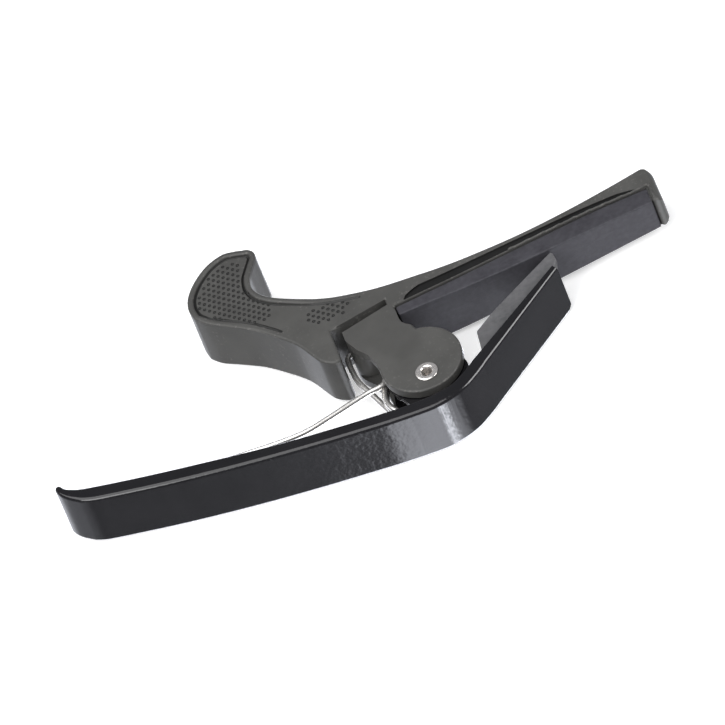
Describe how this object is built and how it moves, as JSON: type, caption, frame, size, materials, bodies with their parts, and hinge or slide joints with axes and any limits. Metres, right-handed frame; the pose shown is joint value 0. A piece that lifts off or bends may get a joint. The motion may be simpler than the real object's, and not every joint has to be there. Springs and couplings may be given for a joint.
{
  "type": "guitar capo",
  "caption": "Quick-change guitar capo: a sprung squeeze lever with a padded jaw, pivoted on a straight padded string bar with a hooked thumb handle.",
  "frame": {"origin": "centre of the outline, on the side face that the capo lies on", "axes": "+X along the string bar towards its free end, +Y from the squeeze lever to the back of the string bar, +Z along the pivot, up when the capo lies on its side"},
  "size_m": [0.152, 0.069, 0.0148],
  "materials": {
    "arm_coating": "satin dark grey coating",
    "string_rubber": "matt dark rubber with scuffs",
    "lever_paint": "gloss black paint",
    "neck_rubber": "satin grey rubber",
    "spring_wire": "bright plated wire",
    "rivet_plating": "bright nickel",
    "sleeve_steel": "plain steel"
  },
  "bodies": {
    "upper": {"upper_arm": "arm_coating", "string_pad": "string_rubber", "torsion_spring": "spring_wire", "pivot_rivet": "rivet_plating", "pivot_sleeve": "sleeve_steel"},
    "lever": {"lower_lever": "lever_paint", "neck_pad": "neck_rubber"}
  },
  "joints": [
    {"name": "lever_pivot", "type": "hinge", "parent": "upper", "child": "lever", "pos_m": [0.01165, -0.02324, 0.0074], "axis": [0, 0, -1], "range_deg": [0, 40], "stiffness_Nm_per_rad": 0.5, "springref_deg": -68.75, "deforming": ["torsion_spring"]}
  ]
}
